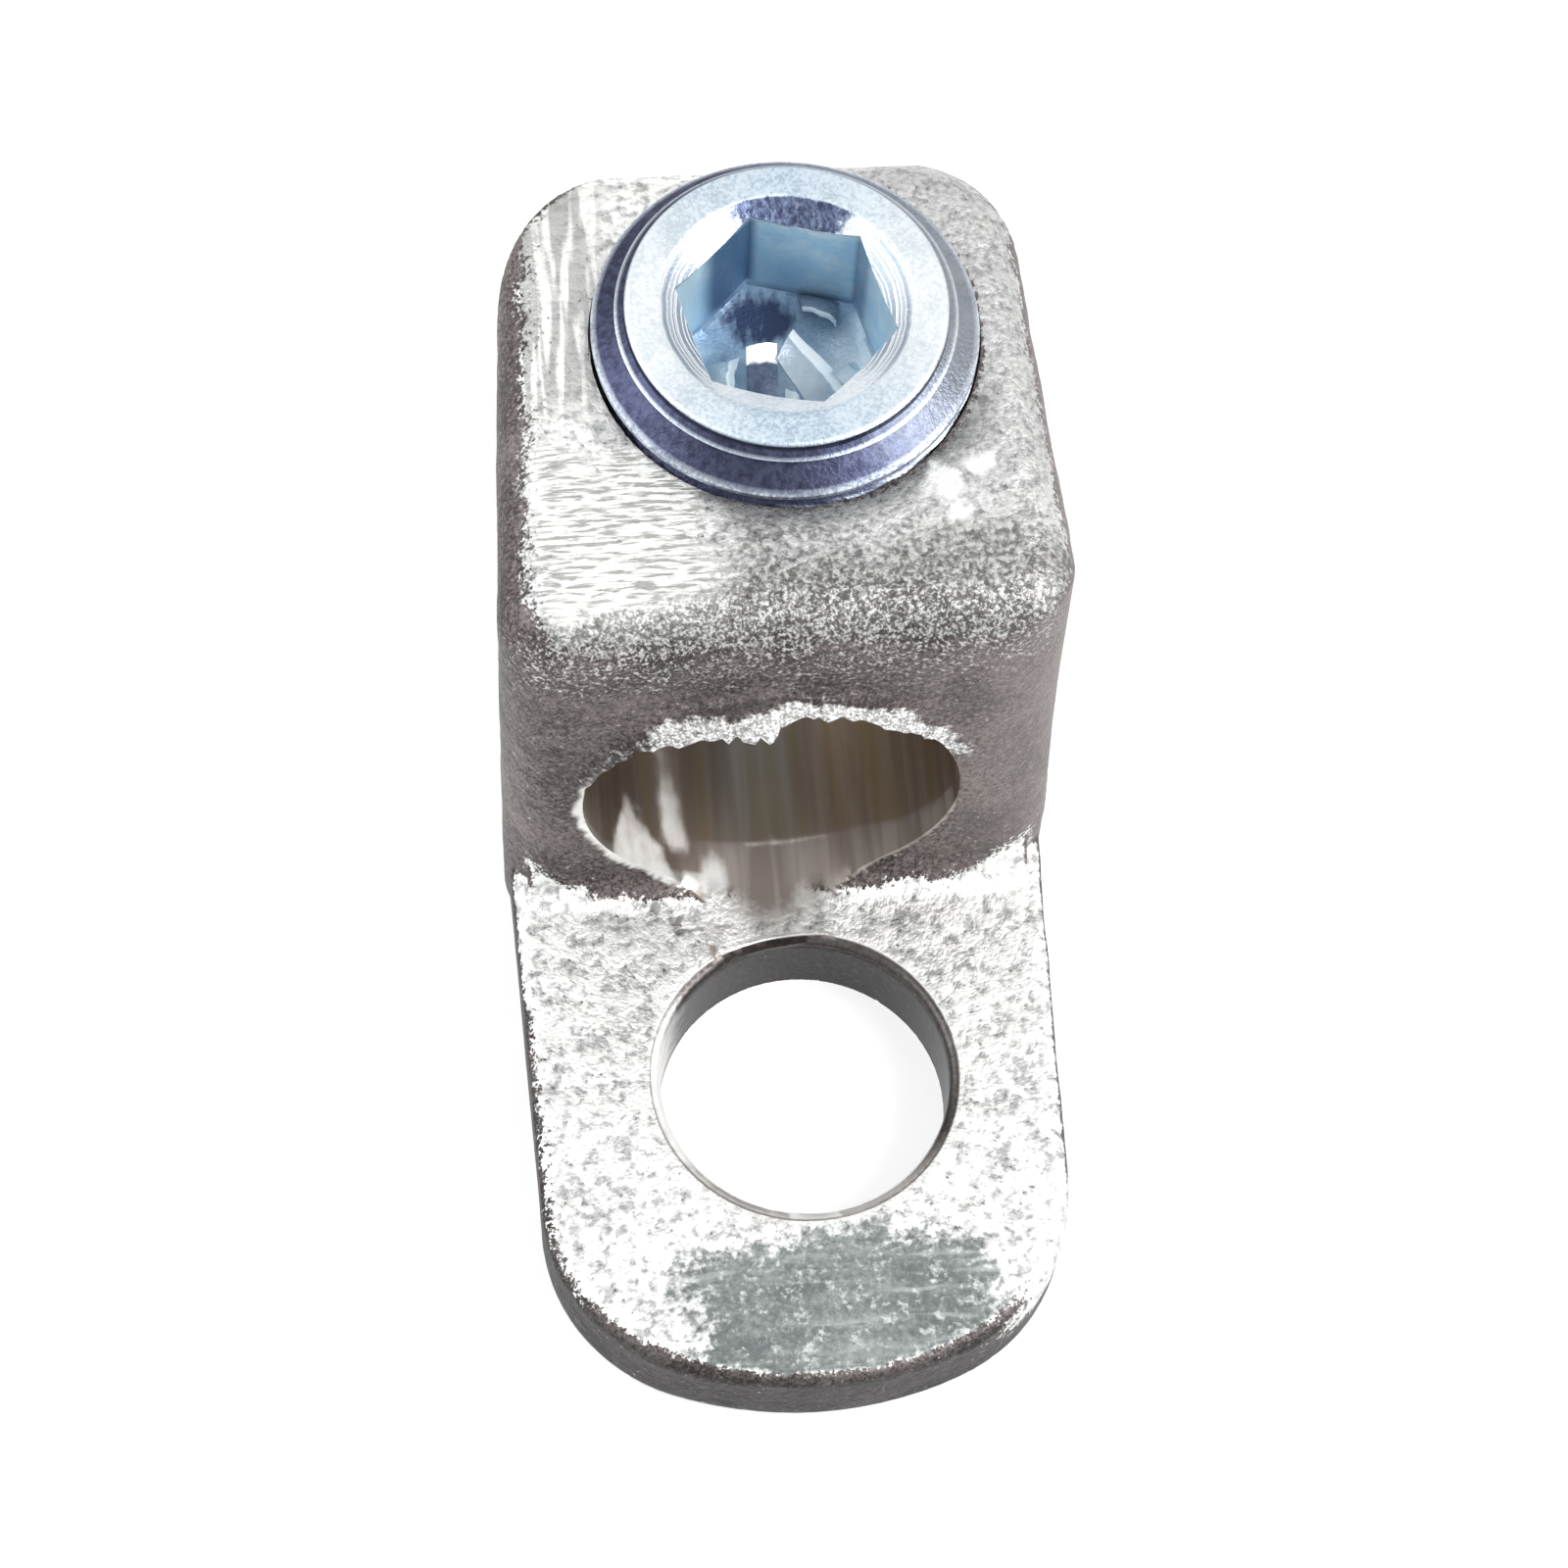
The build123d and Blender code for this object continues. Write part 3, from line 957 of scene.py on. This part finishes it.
# %% Pebbles, grit and clouds
cast = Finish(bpy.data.materials.new("tinned_cast_metal"))
here = cast.place()
pebble_grain = cast.noise(here, 2.5, 2.0, 0.50, 0.25)
fine = cast.noise(here, 5.2, 3.0, 0.62, 0.2)
grit = cast.noise(here, 10.5, 2.0, 0.6)
cloud = cast.noise(here, 0.38, 2.0, 0.5, 0.2)
bright = cast.step(0.37, 0.565, pebble_grain * 0.62 + fine * 0.38 + 0.10 * (cloud - 0.5))
grey_grain = bright * 0.45 + cast.step(0.42, 0.60, fine) * 0.55
calm_grain = bright * 0.35 + cast.step(0.36, 0.64, fine) * 0.65
tin = cast.mix(bright, (0.49, 0.495, 0.49), (0.93, 0.93, 0.915))
shaded_tin = cast.mix(grey_grain, (0.17, 0.168, 0.165), (0.58, 0.575, 0.57))
calm_shaded_tin = cast.mix(calm_grain, (0.33, 0.335, 0.33), (0.60, 0.60, 0.595))

# %% Painted shade on the top, with bright specks on its rounded edges, and on upright faces
# Painted shade on the top: greyer ahead, quieter grey behind on the right, dark with specks on the rounded
# edges.
shaded_specks = cast.blend(0.46, 0.60, fine * 0.40 + grit * 0.60, (0.072, 0.067, 0.065), (0.56, 0.56, 0.55))
for name, strength, tone in (
    ("shade", 1.0, shaded_tin),
    ("calm", 0.9, calm_shaded_tin),
    ("front_round", 0.80, shaded_specks),
    ("at_screw", 0.85, (0.11, 0.11, 0.115)),
):
    tin = cast.cover(tin, name, strength, tone)
raised = (fine - 0.5) * 1.7 + (grit - 0.5) * 1.6 + (pebble_grain - 0.5) * 0.6
dull = cast.step(0.34, 0.66, cast.mask("dull") * 1.10 - raised)
mottle = cast.step(0.40, 0.61, fine * 0.38 + cloud * 0.24 + grit * 0.38)
# Painted shade on upright faces, darker at the tongue's low edges and lighter to the right as painted
# light.
low_shade_tone = cast.mix(mottle, (0.030, 0.027, 0.028), (0.085, 0.076, 0.076))
shaded_skin_tone = cast.mix(mottle, (0.060, 0.051, 0.049), (0.250, 0.217, 0.211))
shaded_skin_tone = cast.cover(shaded_skin_tone, "pale_side", 0.35, (0.33, 0.29, 0.285))
shaded_skin_tone = cast.cover(shaded_skin_tone, "low_edge", 1.0, low_shade_tone)
colour = cast.mix(dull, tin, shaded_skin_tone)

# %% [markdown]
# ## Marks of tools
# The file left fine broken strokes on the left of the top, nearly level, and long curved ones behind.
# Noise that is stretched along one axis gives such strokes. The pressed tip of the tongue is greener
# and smooth, with small bright grains. Pits and bright dents are single spots with a place of their
# own, drawn in a place that noise has pushed about.

# %% Strokes of the file
tilted = cast.warp(cast.place((1.2, 7.5, 1.0)), 0.6, 1.0)
stroke = cast.step(0.38, 0.56, cast.noise(tilted, 1.0, 2.0, 0.6))
filed = cast.mask("filed")
file_tone = cast.mix(stroke, (0.40, 0.40, 0.38), (0.94, 0.94, 0.91))
colour = cast.mix(cast.step(0.2, 0.8, filed + 0.8 * (fine - 0.5)) * 0.9, colour, file_tone)
curved = cast.warp(cast.place((3.4, 0.30, 1.0)), 0.35, 2.2)
swept = cast.blend(0.47, 0.60, cast.noise(curved, 0.8, 1.0, 0.5), (0.40, 0.395, 0.385), (0.95, 0.95, 0.93))
colour = cast.cover(colour, "swirl", 0.75 * (1 - dull), swept)

# %% The pressed tip
patch = cast.mask("patch")
scratch = cast.noise(cast.place((0.30, 2.2, 1)), 1.0, 2.0, 0.5, 0.5)
standing = cast.step(0.52, 0.68, pebble_grain * 0.5 + fine * 0.5)
rubbed_tin = cloud * 0.3 + fine * 0.5 + scratch * 0.2
pressed = cast.blend(0.36, 0.64, rubbed_tin, (0.165, 0.185, 0.181), (0.34, 0.37, 0.36))
pressed = cast.mix(cast.step(0.58, 0.70, scratch) * 0.35, pressed, (0.56, 0.59, 0.58))
pressed = cast.mix(standing * 0.6, pressed, (0.68, 0.71, 0.70))
edge_of_patch = patch - 1.3 * (pebble_grain - 0.5) - 1.1 * (fine - 0.5)
colour = cast.blend(0.1, 0.9, edge_of_patch, colour, pressed)

# %% Pits and bright dents
pits = (
    ((-4.50, 6.20, 3.0), 0.16),
    ((-3.75, 5.50, 3.0), 0.20),
    ((-4.90, 7.00, 3.2), 0.13),
    ((6.10, 15.25, 19.2), 0.10),
)
dents = (((4.5, 12.5, 19.2), 0.30), ((5.8, 13.1, 19.2), 0.15), ((5.2, 11.5, 19.2), 0.20))
for spots, pushed, soft, strength, tone in (
    (pits, cast.warp(here, 2.2, 0.9), 0.14, 0.8, (0.20, 0.19, 0.19)),
    (dents, cast.warp(here, 1.1, 1.6), 0.45, 0.85, (0.97, 0.97, 0.96)),
):
    for centre, radius in spots:
        colour = cast.mix(cast.spot(pushed, centre, radius, soft) * strength, colour, tone)

# %% [markdown]
# ## Drilled walls
# Inside the bore the light bounces from wall to wall and loses strength, so the metal there is written
# brighter than it looks. The bolt hole is open to the light, so its wall is written as dark as it
# looks, which paints its shade into it, and only its rounded edge is bright where it faces front, as a
# painted highlight, with painted shade behind. Where a highlight is painted on a wall the metal scatters
# light instead of mirroring the dark wall across from it.

# %% The wall of the bore
stripe = cast.noise(cast.place((1.7, 0.10, 1.7)), 1.0, 2.0, 0.55)
bore_tone = cast.blend(0.32, 0.68, stripe, (0.46, 0.392, 0.34), (0.62, 0.55, 0.49))
olive = cast.step(0.54, 0.68, cast.noise(cast.place((1.3, 0.07, 1.3)), 0.9, 1.0))
bore_tone = cast.mix(olive * 0.6, bore_tone, (0.54, 0.44, 0.27))
graze_tone = cast.blend(0.35, 0.65, stripe, (0.30, 0.255, 0.235), (0.46, 0.41, 0.385))
# Painted highlights on the walls, with a ragged edge.
highlight_noise = cast.noise(cast.place((1.0, 0.5, 1.0)), 2.2, 3.0, 0.6)
rubbed = cast.step(0.15, 1.05, cast.mask("rubbed") + 0.7 * (highlight_noise - 0.5))

# %% The wall and the edge of the bolt hole
hole_middle = (0.0, 0.0, 0.0)
flat_place = cast.place((1, 1, 0))
height = cast.part(here, "Z")
hole = cast.spot(flat_place, hole_middle, bolt_radius + 0.28, 0.09) * cast.step(0.03, 0.10, height)
hole_rim = cast.spot(flat_place, hole_middle, bolt_radius + 0.44, 0.10) * cast.step(2.6, 2.8, height)
hole_edge = cast.step(tongue_top - 0.40, tongue_top - 0.15, height)
# Painted highlight on the front of the hole's rounded edge, painted shade at its back and right.
turned_away = cast.step(-2.6, 0.8, cast.part(here, "X") * 0.6 + cast.part(here, "Y"))
shaded_edge = cast.mix(fine, (0.030, 0.026, 0.026), (0.16, 0.145, 0.14))
lit_and_shaded_edge = cast.mix(turned_away, (0.78, 0.775, 0.765), shaded_edge)
# Painted shade: the hole's wall is painted nearly black.
hole_shade_tone = cast.blend(0.35, 0.65, fine, (0.016, 0.014, 0.014), (0.036, 0.031, 0.031))
hole_shade_tone = cast.mix(hole_edge, hole_shade_tone, lit_and_shaded_edge)

# %% Lay the walls, the lip and the rims over the skin
drilled = cast.mask("drilled")
grazed = cast.mask("grazed")
bare = cast.step(0.10, 0.90, drilled + 0.6 * (fine - 0.5))
wall = cast.mix(hole, bore_tone, hole_shade_tone)
wall = cast.mix(grazed, wall, graze_tone)
# The painted highlights, nearly white.
wall = cast.mix(rubbed, wall, (0.93, 0.92, 0.90))
# The lip and the rims are painted bright, as painted highlights, and the burr's body darker, as painted
# shade.
lip_tone = cast.blend(0.42, 0.58, fine * 0.4 + grit * 0.6, (0.36, 0.35, 0.35), (0.95, 0.95, 0.94))
burr_tone = cast.mix(0.55, shaded_skin_tone, (0.045, 0.039, 0.038))
colour = cast.mix(hole_rim * (1 - bare) * 0.6, colour, (0.88, 0.87, 0.85))
colour = cast.mix(bare + hole - bare * hole, colour, wall)
colour = cast.cover(colour, "burr", 1.0, burr_tone)
colour = cast.blend(0.20, 0.80, cast.mask("lip") + 1.4 * (fine - 0.5), colour, lip_tone)
colour = cast.blend(0.15, 0.85, cast.mask("rim"), colour, (0.86, 0.85, 0.83))

# %% Relief and gloss
quiet = (1 - 0.7 * patch) * (1 - 0.95 * drilled) * (1 - 0.5 * filed) * (1 - 0.9 * hole)
pebbles = (pebble_grain * 0.50 + fine * 0.35 + grit * 0.15) * quiet + 0.10 * stroke * filed
cast_metal = cast.surface(
    base_color=colour,
    metallic=1 - 0.9 * (drilled + hole) * cast.step(0.0, 1.0, rubbed + grazed * 0.6),
    roughness=0.50 - 0.14 * (drilled + hole),
    normal=cast.relief(pebbles, 0.11),
)
casting.data.materials.append(cast_metal)
print("cast metal has", len(cast.tree.nodes), "nodes")

# %% [markdown]
# ## Blue zinc
# Zinc plating with a blue passivation is a near white metal with a cold tint. The turned top is finely
# speckled and a little bluer at the front and back. The lathe left rings on the cone round the socket.
# Their distance from the axis is all that the pattern needs to know.

# %% The outside of the screw
zinc = Finish(bpy.data.materials.new("blue_zinc_plating"))
here = zinc.place()
speck = zinc.noise(here, 8.0, 3.0, 0.65)
stain = zinc.noise(here, 0.9, 2.0, 0.5, 0.5)
grain = zinc.noise(here, 3.2, 3.0, 0.65, 0.3)
from_axis = zinc.vector("DISTANCE", zinc.place((1, 1, 0)), (screw_x, screw_y, 0.0), "Value")
along_radius = zinc.add("ShaderNodeCombineXYZ", {}, {"X": from_axis * 9.0 + 1.2 * (stain - 0.5)}, "Vector")
turned_rings = zinc.step(0.44, 0.58, zinc.noise(along_radius, 1.0, 2.0, 0.6))
streaky = zinc.noise(zinc.place((1.0, 0.4, 1.0)), 6.0, 3.0, 0.65)

speckled = zinc.step(0.36, 0.60, speck * 0.7 + stain * 0.3)
tone = zinc.mix(speckled, (0.74, 0.81, 0.85), (0.93, 0.96, 0.98))
cool = zinc.mix(speckled, (0.37, 0.49, 0.62), (0.68, 0.79, 0.88))
violet = zinc.blend(0.30, 0.70, grain, (0.034, 0.037, 0.066), (0.072, 0.080, 0.135))
crest_tone = zinc.mix(speckled, (0.20, 0.23, 0.31), (0.62, 0.68, 0.76))
ring_tone = zinc.mix(turned_rings, (0.22, 0.28, 0.36), (0.90, 0.93, 0.95))
# A painted reflection: the far side of the cone is painted dark violet.
dark_reflection_tone = zinc.blend(0.36, 0.70, streaky, (0.050, 0.060, 0.120), (0.19, 0.24, 0.36))
for name, strength, over in (
    ("cool", 0.6 + 0.6 * stain, cool),
    ("groove", 1.0, violet),
    ("crest_line", 1.0, crest_tone),
    ("tip", 1.0, (0.20, 0.18, 0.16)),
    ("cone_lines", 0.85, ring_tone),
):
    tone = zinc.cover(tone, name, strength, over)
tone = zinc.blend(0.20, 0.90, zinc.mask("cone_far") + 1.3 * (grain - 0.5), tone, dark_reflection_tone)

# %% Inside the socket
blot = zinc.step(0.3, 0.7, stain * 0.6 + grain * 0.4)
wall_tone = zinc.mix(blot, (0.46, 0.74, 0.95), (0.76, 0.93, 1.0))
# Painted light and shade on the walls: darker deep down and at two corners, pale cyan on the far left.
for name, strength, over in (
    ("wall_deep", 0.6, (0.36, 0.62, 0.86)),
    ("wall_shade", 0.9, (0.035, 0.10, 0.22)),
    ("wall_pale", 1.0, (0.60, 0.78, 0.85)),
    ("ledge", 1.0, (0.50, 0.66, 0.78)),
):
    wall_tone = zinc.cover(wall_tone, name, strength, over)
pale_floor = zinc.mix(blot, (0.42, 0.55, 0.66), (0.70, 0.80, 0.86))
floor_tone = zinc.mix(blot, (0.17, 0.29, 0.45), (0.38, 0.52, 0.66))
floor_tone = zinc.cover(floor_tone, "floor_pale", 1.0, pale_floor)
torn = zinc.noise(zinc.place((1.0, 0.35, 1.0)), 3.0, 2.0, 0.6)
# The painted shadow in the dip of the floor, with a torn edge.
hollow_shadow = zinc.mask("floor_hollow") + 1.6 * (torn - 0.5)
floor_tone = zinc.blend(0.1, 0.9, hollow_shadow, floor_tone, (0.012, 0.035, 0.10))
# Each chip's body is painted with its own light and shade, and its lit edge white, as a painted highlight.
chip_tone = zinc.mix(zinc.mask("chip_body") + 0.3 * (grain - 0.5), (0.035, 0.06, 0.12), (0.66, 0.76, 0.84))
chip_lit = zinc.mask("chip_edge") + 0.8 * (grain - 0.5)
chip_tone = zinc.blend(0.3, 0.7, chip_lit, chip_tone, (0.97, 0.98, 0.98))
inside_tone = zinc.cover(wall_tone, "socket_floor", 1.0, floor_tone)
inside_tone = zinc.cover(inside_tone, "chip", 1.0, chip_tone)

# %% Finish the screw
socket = zinc.mask("socket")
lathe_lines = turned_rings * zinc.mask("cone_lines")
zinc_plating = zinc.surface(
    base_color=zinc.mix(socket, tone, inside_tone),
    metallic=1 - 0.70 * socket,
    roughness=0.26 + 0.16 * stain,
    normal=zinc.relief(speck * 0.6 + grain * 0.2 + lathe_lines * 0.4, 0.035),
)
screw.data.materials.append(zinc_plating)
print("zinc plating has", len(zinc.tree.nodes), "nodes")

# %% [markdown]
# ## Tell the frame what each piece is
# Each piece rides on the body it belongs to, and hides the plain solid that it stands for.

# %% Ride and replace
for piece, body, node, slot in (
    (casting, "lug", "lug_body", "tinned_casting"),
    (screw, "screw", "clamp_screw", "zinc_plated_screw"),
):
    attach(piece, body)
    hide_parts(node)
    print(piece.name, "rides on", body, "and stands for", node)

# %% [markdown]
# ## Camera
# The photograph was taken from steeply above, a little from the left, with the camera rolled by a few
# degrees. Its direction, distance and lens were worked out from the outlines of the lug.

# %% Place the camera
azimuth = math.radians(-8.946)
elevation = math.radians(64.104)
roll = math.radians(4.796)
aim = Vector((-0.062, 8.949, 6.0)) * MM
distance = 162.474 * MM
sensor_width = 36.0
focal_pixels = 5127.385
photo_pixels = 1600

across_ground = math.cos(elevation)
back = Vector((math.sin(azimuth) * across_ground, -math.cos(azimuth) * across_ground, math.sin(elevation)))
turn = back.to_track_quat("Z", "Y").to_matrix() @ Matrix.Rotation(roll, 3, "Z")
camera_data = bpy.data.cameras.new("camera")
camera_data.sensor_fit = "HORIZONTAL"
camera_data.sensor_width = sensor_width
camera_data.lens = focal_pixels * sensor_width / photo_pixels
camera_data.clip_start = 0.005
camera_data.clip_end = 10
camera = bpy.data.objects.new("camera", camera_data)
bpy.context.scene.collection.objects.link(camera)
camera.matrix_world = Matrix.Translation(aim + back * distance) @ turn.to_4x4()
bpy.context.scene.camera = camera
print("camera at", camera.location, "lens", camera_data.lens)

# %% [markdown]
# ## Floor, lamps and white surroundings
# The picture has a plain white ground. The floor shows white to the camera and to reflections through
# the Light Path node, and takes its light from the lamps otherwise, so that the lug keeps its shadow.
# The large soft lamp stands to the right, as in the photograph, and a weaker one fills from the left.

# %% Make the floor
floor_half = 600
floor_gap = 0.02
corners = ((-1, -1), (1, -1), (1, 1), (-1, 1))
floor_points = [(sx * floor_half, sy * floor_half, -floor_gap) for sx, sy in corners]
floor = make_object("floor", floor_points, [(0, 1, 2, 3)])
ground = Finish(bpy.data.materials.new("white_ground"))
matt = ground.add("ShaderNodeBsdfDiffuse", {}, {"Color": (0.55, 0.55, 0.55)}, "BSDF")
glow_tone = ground.mix(ground.seen(), (0.0, 0.0, 0.0), (0.68, 0.68, 0.68))
glow = ground.add("ShaderNodeEmission", {}, {"Color": glow_tone, "Strength": 1.0}, "Emission")
both = ground.add("ShaderNodeAddShader", {}, {0: matt, 1: glow}, "Shader")
ground.add("ShaderNodeOutputMaterial", {}, {"Surface": both})
floor.data.materials.append(ground.owner)

# %% Make the lamps and the world
aim_point = Vector((0, 8, 8)) * MM


def add_lamp(name, place_mm, size_mm, power, colour):
    """A square soft lamp that points at the lug."""
    data = bpy.data.lights.new(name, "AREA")
    data.shape = "SQUARE"
    data.size = size_mm * MM
    data.energy = power
    data.color = colour
    lamp = bpy.data.objects.new(name, data)
    lamp.location = Vector(place_mm) * MM
    lamp.rotation_mode = "QUATERNION"
    lamp.rotation_quaternion = (aim_point - lamp.location).to_track_quat("-Z", "Y")
    bpy.context.scene.collection.objects.link(lamp)


add_lamp("key_lamp", (170, -60, 210), 130, 0.55, (1.0, 1.0, 1.0))
add_lamp("fill_lamp", (-190, 40, 190), 160, 0.25, (0.95, 0.98, 1.0))

ambient = 0.55
room = Finish(bpy.data.worlds.new("white_room"))
bpy.context.scene.world = room.owner
white = {"Color": (1, 1, 1), "Strength": ambient + room.seen() * (1 - ambient)}
sky = room.add("ShaderNodeBackground", {}, white, "Background")
room.add("ShaderNodeOutputWorld", {}, {"Surface": sky})
bpy.context.scene.view_settings.view_transform = "Standard"
print("lamps", [lamp.name for lamp in bpy.data.lights])
